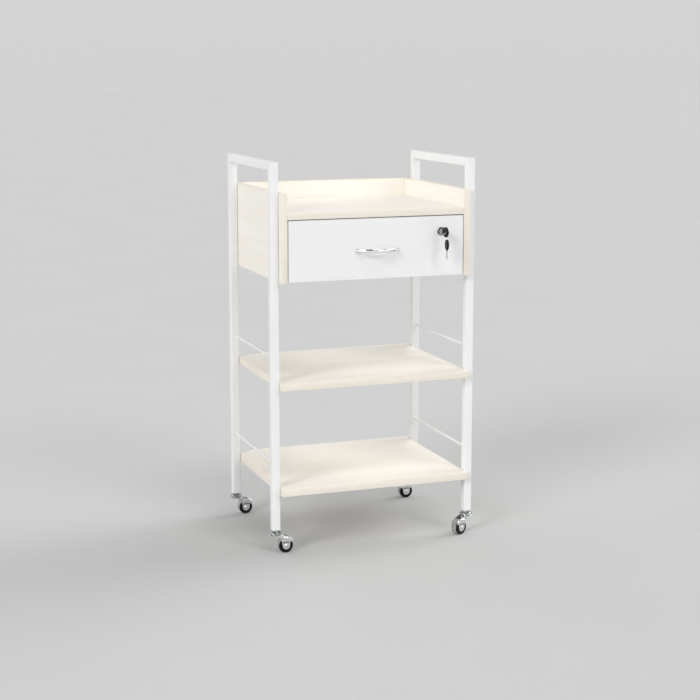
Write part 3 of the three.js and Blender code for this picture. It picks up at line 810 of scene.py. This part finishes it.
def build_lock_housing(into):
    """The collar, and the threaded barrel behind it, in nickel darkened as a painted reflection."""
    rim = COLLAR_RADIUS
    outline = [(BARREL_BORE, -1.4), (6.2, -2), (rim - 1.4, -2.4), (rim - 1, -2.9), (rim - 0.5, -2.9)]
    outline += [(rim, -2.4), (rim, -0.3), (BARREL_ROOT, -0.3), (BARREL_ROOT, 0.6)]
    outline += threaded(*BARREL_THREAD)
    outline += [(BARREL_ROOT, BARREL_END), (BARREL_BORE, BARREL_END)]
    housing = moved(lathe(outline, 56, closed=True), into)
    # Painted reflection: the collar and barrel take nickel darkened in place of the dark surroundings
    # that they would mirror.
    place(link_mesh("lock_barrel", housing, NICKEL_DARKENED_AS_PAINTED_REFLECTION), "drawer", ["lock_housing"])


def build_lock_plug(into):
    """The turning plug with its keyway, and the end that the cam sits on."""
    step = BARREL_END + 1
    outline = [(0, -1), (PLUG_RADIUS - 0.5, -1), (PLUG_RADIUS, -0.6), (PLUG_RADIUS, step)]
    outline += [(2.8, step), (2.8, 33.1), (4.6, 33.1), (4.6, 33.6), (3.9, 34.3), (0, 34.5)]
    keyway = rounded_box((-1.2, -4.3, -6), (1.2, 4.3, 24), 0.2, 1)
    plug = moved(boolean(lathe(outline, 48), keyway), into)
    place(link_mesh("lock_core", plug, CHROME), "lock", ["lock_plug"])


def build_lock_cam(lock):
    low, high = mm_box("lock_cam")
    across = (high.z - low.z) / 2
    tip = low.x + CAM_CORNER
    outline = arc(lock.x, lock.z, across, -90, 90, 16)
    outline += arc(tip, lock.z + across - CAM_CORNER, CAM_CORNER, 90, 180, 8)
    outline += arc(tip, lock.z - across + CAM_CORNER, CAM_CORNER, 180, 270, 8)
    cam = plate(outline, low.y, high.y, 0.35, 2)
    hole_at = shift(lock.x, (low.y + high.y) / 2, lock.z) @ spin(90, "X")
    hole = moved(disc(CAM_HOLE_RADIUS, -FAR, FAR), hole_at)
    place(link_mesh("lock_cam_plate", boolean(cam, hole), ZINC), "lock", ["lock_cam"])


def build_lock_nut(lock):
    """The nut that clamps the barrel to the drawer front."""
    low, high = mm_box("lock_nut")
    hexagon = lathe(mirrored([(0, -2), (NUT_RADIUS - 0.4, -2), (NUT_RADIUS, -1.6)]), 6)
    nut = boolean(moved(hexagon, spin(30, "Z")), disc(LOCK_BORE_RADIUS, -FAR, FAR))
    moved(nut, shift(lock.x, (low.y + high.y) / 2, lock.z) @ spin(-90, "X"))
    place(link_mesh("lock_ring_nut", nut, ZINC), "drawer", ["lock_nut"])


def build_lock():
    lock = joint_place("lock_turn")
    into = shift(*lock) @ spin(-90, "X")
    build_lock_housing(into)
    build_lock_plug(into)
    build_lock_cam(lock)
    build_lock_nut(lock)


def key_head():
    """A round moulded head in the Y-Z plane with its ring hole at the origin, blade along +Y."""
    half = KEY_HEAD_THICKNESS / 2
    rim = KEY_HEAD_RADIUS
    end = 2 * rim - KEY_HOLE_FROM_TIP
    flank = [(0, 1.1 - half), (7.4, 1.1 - half), (8.4, 0.2 - half), (9.2, -half), (10.8, -half)]
    flank += [(rim - 0.8, 0.5 - half), (rim - 0.1, 1.4 - half)]
    head = lathe(mirrored(flank, [(rim, 0)]), 56)
    moved(head, shift(0, rim - KEY_HOLE_FROM_TIP, 0) @ spin(90, "Y"))
    boss = moved(disc(4.5, -half, half, 40), spin(90, "Y"))
    head = boolean(head, boss, "UNION")
    neck = rounded_box((-1.9, end - 3, -4.9), (1.9, end + 1.2, 4.9), 0.8)
    head = boolean(head, neck, "UNION")
    head = boolean(head, moved(disc(KEY_HOLE_RADIUS, -FAR, FAR, 32), spin(90, "Y")))
    tang_pocket = rounded_box((-1.2, end - KEY_TANG - 0.3, -4.2), (1.2, end + 5, 4.2), 0)
    return boolean(head, tang_pocket)


def key_blade():
    """A flat blade with a milled groove on each side and cuts along its lower edge."""
    start = 2 * KEY_HEAD_RADIUS - KEY_HOLE_FROM_TIP - KEY_TANG
    shoulder = start + KEY_TANG
    end = shoulder + KEY_BLADE_LENGTH
    high = KEY_BLADE_HALF_HEIGHT
    outline = [(start, high), (end - 2.6, high), (end, 0.6), (end, -0.6), (end - 1.5, -2)]
    for along, depth in KEY_CUTS:
        spot = shoulder + along
        outline += [(spot + 0.7, depth - high), (spot - 0.7, depth - high)]
    outline += [(shoulder + 6, -high), (start, -high)]
    # Drawn in X-Z, then turned to lie along +Y in the Y-Z plane
    blade = plate(outline, -1, 1, 0.12, 1)
    for sign in (-1, 1):
        groove = rounded_box((shoulder + 0.8, sign - 0.35, 0.2), (end + 1, sign + 0.35, 1.6), 0)
        blade = boolean(blade, groove)
    return moved(blade, spin(90, "Z"))


def split_ring():
    """Two turns of wire side by side in the X-Z plane, with one step from the first to the second."""
    start, step, count = 0.6, 0.5, 112
    path = []
    for i in range(count + 1):
        angle = start + step / 2 + (2 * TURN - step) * i / count
        beyond = (angle - start - TURN) / (step / 2)
        offset = RING_WIRE * 1.02 * max(-1.0, min(1.0, beyond))
        path.append((RING_RADIUS * math.cos(angle), offset, RING_RADIUS * math.sin(angle)))
    return swept(path, RING_WIRE, 10)


def place_key(at, body, name):
    """One key moved to its place: a black moulded head and a plated blade."""
    head = moved(key_head(), at)
    place(link_mesh(f"{name}_bow", head, BLACK), body, [f"{name}_head"])
    blade = moved(key_blade(), at)
    place(link_mesh(f"{name}_shank", blade, NICKEL), body, [f"{name}_blade"])


def build_keys():
    place_key(shift(*joint_place("key_ring_swing")), "lock", "key")
    centre = joint_place("spare_key_slide_round_ring")
    ring = moved(split_ring(), shift(*centre))
    place(link_mesh("split_ring", ring, SATIN_STEEL), "key_ring", ["key_ring"])
    hang = shift(centre.x, centre.y, centre.z - RING_RADIUS) @ spin(SPARE_KEY_TWIST, "Z")
    place_key(hang @ spin(-90, "X"), "spare_key", "spare_key")


# ---------------------------------------------------------------- casters

def fork_hood():
    """The cover over the wheel: a sector of a drum whose shoulders are rounded."""
    x, z = TRAIL, WHEEL_RADIUS
    outline = [(x - 13, z + 14), (x - 16, z + 20), (x - 14, z + 30), (x + 26, z + 30), (x + 26, z + 18)]
    outline += [(x + 19, z + 12.8), (x + 16.4, z + 12), (x + 13.4, z + 9.8), (x + 10.8, z + 8.8)]
    outline += [(x + 5, z + 10), (x, z + 10.4), (x - 5, z + 10), (x - 10.8, z + 8.6)]
    shoulder = 3.2
    half, edge = HOOD_HALF_WIDTH, HOOD_RADIUS
    flank = [(0, -half)] + arc(edge - shoulder, shoulder - half, shoulder, -90, 0, 8)
    drum = moved(lathe(mirrored(flank), 96), shift(x, 0, z) @ spin(90, "X"))
    return boolean(plate(outline, -FAR, FAR), drum, "INTERSECT")


def fork_neck():
    """The pressed shoulder between the swivel plate and the hood."""
    outline = [(-3, 44.2), (-3, 46.1), (13, 46.1), (26, 40.6), (26, 34), (10.4, 33), (4, 41.5)]
    return plate(outline, 1.2 - HOOD_HALF_WIDTH, HOOD_HALF_WIDTH - 1.2, 1.3, 4)


def fork_legs():
    """Both legs as one block: a shield with a round foot, and an arched slot under the hood."""
    x, z = TRAIL, WHEEL_RADIUS
    outline = [(x + 10.4, z + 12), (x + 10.2, z + 6)] + arc(x, z, 9.4, 0, -180, 24)
    outline += [(x - 10.2, z + 6), (x - 10.4, z + 12)]
    legs = plate(outline, -LEG_HALF_WIDTH, LEG_HALF_WIDTH, 0.6, 3)
    slot = [(x - 8.4, z + 6.6), (x - 4, z + 7.7), (x, z + 8), (x + 4, z + 7.7), (x + 8.4, z + 6.6)]
    slot += [(x + 8.6, z + 9.2), (x + 4, z + 10.6), (x, z + 11), (x - 4, z + 10.6), (x - 8.6, z + 9.2)]
    return boolean(legs, plate(slot, -FAR, FAR))


def swivel_plate():
    """The fork's top plate, and the lower race on it that leaves a groove under the upper one."""
    outline = [(0, 44), (13.4, 44), (14, 44.5), (14, 45.6), (13.4, 46.1), (10.8, 46.3)]
    outline += [(10.4, 46.8), (10.4, 48.4), (0, 48.4)]
    return lathe(outline, 56)


def build_fork(corner, stand):
    """Hood, neck, legs and swivel plate in one, with room for the wheel, the axle and the kingpin."""
    across = shift(TRAIL, 0, WHEEL_RADIUS) @ spin(90, "X")
    w = WHEEL_SPACE_HALF_WIDTH
    space = mirrored([(0, -w), (WHEEL_SPACE - 1.2, -w), (WHEEL_SPACE, 1.2 - w)])
    fork = fork_hood()
    for part in (fork_neck(), fork_legs(), swivel_plate()):
        fork = boolean(fork, part, "UNION")
    holes = (
        moved(lathe(space, 72), across),
        moved(disc(AXLE_HOLE, -FAR, FAR, 32), across),
        disc(KINGPIN_HOLE, 30, 60, 40),
        disc(KINGPIN_HEAD_HOLE, 30, 44, 40),
    )
    for hole in holes:
        fork = boolean(fork, hole)
    shell = link_mesh(f"{corner}_fork_shell", moved(fork, stand), ZINC, 30)
    place(shell, f"{corner}_caster", [f"{corner}_caster_fork"])


def build_axle(corner, stand):
    """A rivet through both legs, with a domed head at each end."""
    head = LEG_HALF_WIDTH + 0.4
    rivet = [(0, -1.4), (2.2, -1.3), (3.6, -0.8), (4.3, 0), (4.3, 0.35), (2.5, 0.35)]
    outline = mirrored([(radius, along - head) for radius, along in rivet])
    axle = moved(lathe(outline, 40), stand @ shift(TRAIL, 0, WHEEL_RADIUS) @ spin(90, "X"))
    made = link_mesh(f"{corner}_axle_rivet", axle, ZINC)
    place(made, f"{corner}_caster", [f"{corner}_caster_axle"])


def build_stem(corner, stand):
    """Kingpin with the upper race and hexagon, and the threaded stem above them."""
    spindle = [(0, 41.4), (4.6, 41.4), (6, 42), (6, 43), (5, 43.7), (4, 43.7), (4, 48.8)]
    spindle += [(14.4, 48.8), (15.3, 49.2), (15.5, 49.9), (15.1, 50.6), (13.8, 51), (12.6, 51.7)]
    spindle += [(11.4, 52.9), (10, 53.6), (8, 53.8), (0, 53.8)]
    nut = lathe([(0, 53.2), (8.6, 53.2), (9.2, 53.8), (9.2, 57), (8.4, 57.6), (0, 57.6)], 48)
    nut = boolean(nut, lathe([(0, 53), (9.2, 53), (9.2, 58), (0, 58)], 6), "INTERSECT")
    thread = [(0, 57.6), (3.7, 57.6)]
    thread += threaded(*STEM_THREAD)
    thread += [(3.4, 79), (0, 80)]
    stem = moved(merged(lathe(spindle, 64), nut, lathe(thread, 32)), stand)
    # Painted reflection: the stem, races and hexagon take zinc darkened in place of the dark
    # surroundings that their rims would mirror.
    made = link_mesh(f"{corner}_swivel_stem", stem, ZINC_DARKENED_AS_PAINTED_REFLECTION, 30)
    place(made, "chassis", [f"{corner}_caster_stem"])


def build_wheel(corner, stand):
    """A black moulding with rounded flanges and a recessed web, and a grey tread between them."""
    body = f"{corner}_wheel"
    r, w = WHEEL_RADIUS, WHEEL_HALF_WIDTH
    flank = [(2.8, -w), (5.6, -w), (6.2, 0.7 - w), (6.6, 2.2 - w), (r - 7.2, 2.2 - w)]
    flank += [(r - 6.6, 1.4 - w), (r - 6, 0.6 - w), (r - 5.2, -w)]
    flank += arc(r - 2.1, 1.9 - w, 1.9, -90, 0, 8) + [(r - 0.2, 2.1 - w), (r - 1.1, 2.3 - w)]
    across = stand @ shift(TRAIL, 0, WHEEL_RADIUS) @ spin(90, "X")
    core = moved(lathe(mirrored(flank), 96, closed=True), across)
    made = link_mesh(f"{corner}_wheel_core", core, BLACK)
    place(made, body, [f"{corner}_caster_wheel"])
    t = w - 2.4
    flank = [(r - 1.05, -t), (r - 0.3, -t), (r - 0.08, 0.5 - t), (r, 1.6 - t)]
    tread = moved(lathe(mirrored(flank), 96, closed=True), across)
    made = link_mesh(f"{corner}_wheel_tread", tread, GREY_RUBBER)
    place(made, body)


def build_casters():
    for corner in CORNERS:
        pivot = joint_place(f"{corner}_caster_swivel")
        trail = joint_place(f"{corner}_wheel_spin") - pivot
        stand = shift(pivot.x, pivot.y, 0) @ spin(math.degrees(math.atan2(trail.y, trail.x)), "Z")
        build_stem(corner, stand)
        build_fork(corner, stand)
        build_axle(corner, stand)
        build_wheel(corner, stand)


# ---------------------------------------------------------------- studio

def build_floor():
    bm = bmesh.new()
    bmesh.ops.create_grid(bm, x_segments=1, y_segments=1, size=FLOOR_REACH)
    look = Look("studio_floor", FLOOR_LIGHT, 0.9)
    look.color_between(look.noise(2, 2), FLOOR_DARK, FLOOR_LIGHT)
    link_mesh("studio_floor", bm, look.material)


def direction(azimuth, elevation):
    """The unit vector towards a place around the trolley; azimuth 0 is straight in front."""
    a, e = math.radians(azimuth), math.radians(elevation)
    return Vector((math.sin(a) * math.cos(e), -math.cos(a) * math.cos(e), math.sin(e)))


def add_sun(name, strength, softness, azimuth, elevation):
    data = bpy.data.lights.new(name, "SUN")
    data.energy = strength
    data.angle = math.radians(softness)
    lamp = bpy.data.objects.new(name, data)
    lamp.rotation_mode = "QUATERNION"
    lamp.rotation_quaternion = direction(azimuth, elevation).to_track_quat("Z", "Y")
    bpy.context.scene.collection.objects.link(lamp)


def build_world():
    """A grey room with a pale front, a dark patch of ceiling, and a dark patch behind."""
    world = bpy.data.worlds.new("studio")
    world.use_nodes = True
    nodes, links = world.node_tree.nodes, world.node_tree.links
    coords = nodes.new("ShaderNodeTexCoord").outputs["Generated"]

    def toward(way, start, end):
        """1 where the room's direction is close to a way, 0 away from it, as cosines."""
        dot = nodes.new("ShaderNodeVectorMath")
        dot.operation = "DOT_PRODUCT"
        dot.inputs[1].default_value = way
        links.new(coords, dot.inputs[0])
        reach = nodes.new("ShaderNodeMapRange")
        reach.interpolation_type = "SMOOTHSTEP"
        reach.inputs["From Min"].default_value = start
        reach.inputs["From Max"].default_value = end
        links.new(dot.outputs["Value"], reach.inputs["Value"])
        return reach.outputs["Result"]

    def mixed(factor, base, level):
        mix = nodes.new("ShaderNodeMix")
        mix.inputs["B"].default_value = level
        links.new(factor, mix.inputs["Factor"])
        links.new(base, mix.inputs["A"])
        return mix.outputs["Result"]

    split = nodes.new("ShaderNodeSeparateXYZ")
    ramp = nodes.new("ShaderNodeValToRGB")
    elements = ramp.color_ramp.elements
    while len(elements) < len(ROOM_LEVELS):
        elements.new(0.5)
    for element, (height, level) in zip(elements, ROOM_LEVELS):
        element.position = height
        element.color = (level, level, level, 1)
    links.new(coords, split.inputs["Vector"])
    links.new(split.outputs["Z"], ramp.inputs["Fac"])
    level = ramp.outputs["Color"]
    for azimuth, elevation, rim, full, brightness in (PALE_FRONT, DARK_CEILING, DARK_BACK):
        level = mixed(toward(direction(azimuth, elevation), rim, full), level, brightness)
    links.new(level, nodes["Background"].inputs["Strength"])
    nodes["Background"].inputs["Color"].default_value = (1, 1, 1, 1)
    bpy.context.scene.world = world


def build_camera():
    data = bpy.data.cameras.new("camera")
    data.lens = FOCAL_LENGTH
    data.sensor_width = 36
    data.shift_y = LENS_SHIFT
    camera = bpy.data.objects.new("camera", data)
    back = direction(CAMERA_AZIMUTH, CAMERA_ELEVATION)
    camera.location = CAMERA_TARGET + back * CAMERA_DISTANCE
    camera.rotation_mode = "QUATERNION"
    camera.rotation_quaternion = back.to_track_quat("Z", "Y")
    bpy.context.scene.collection.objects.link(camera)
    bpy.context.scene.camera = camera


build_camera()
build_posts()
build_handle_bars()
build_rails()
build_screw_caps()
build_boards()
build_drawer_front()
build_kept_nodes()
build_rollers()
build_drawer_handle()
build_handle_screws()
build_lock()
build_keys()
build_casters()

build_floor()
build_world()
for sun in SUNS:
    add_sun(*sun)
bpy.context.scene.view_settings.view_transform = "Standard"
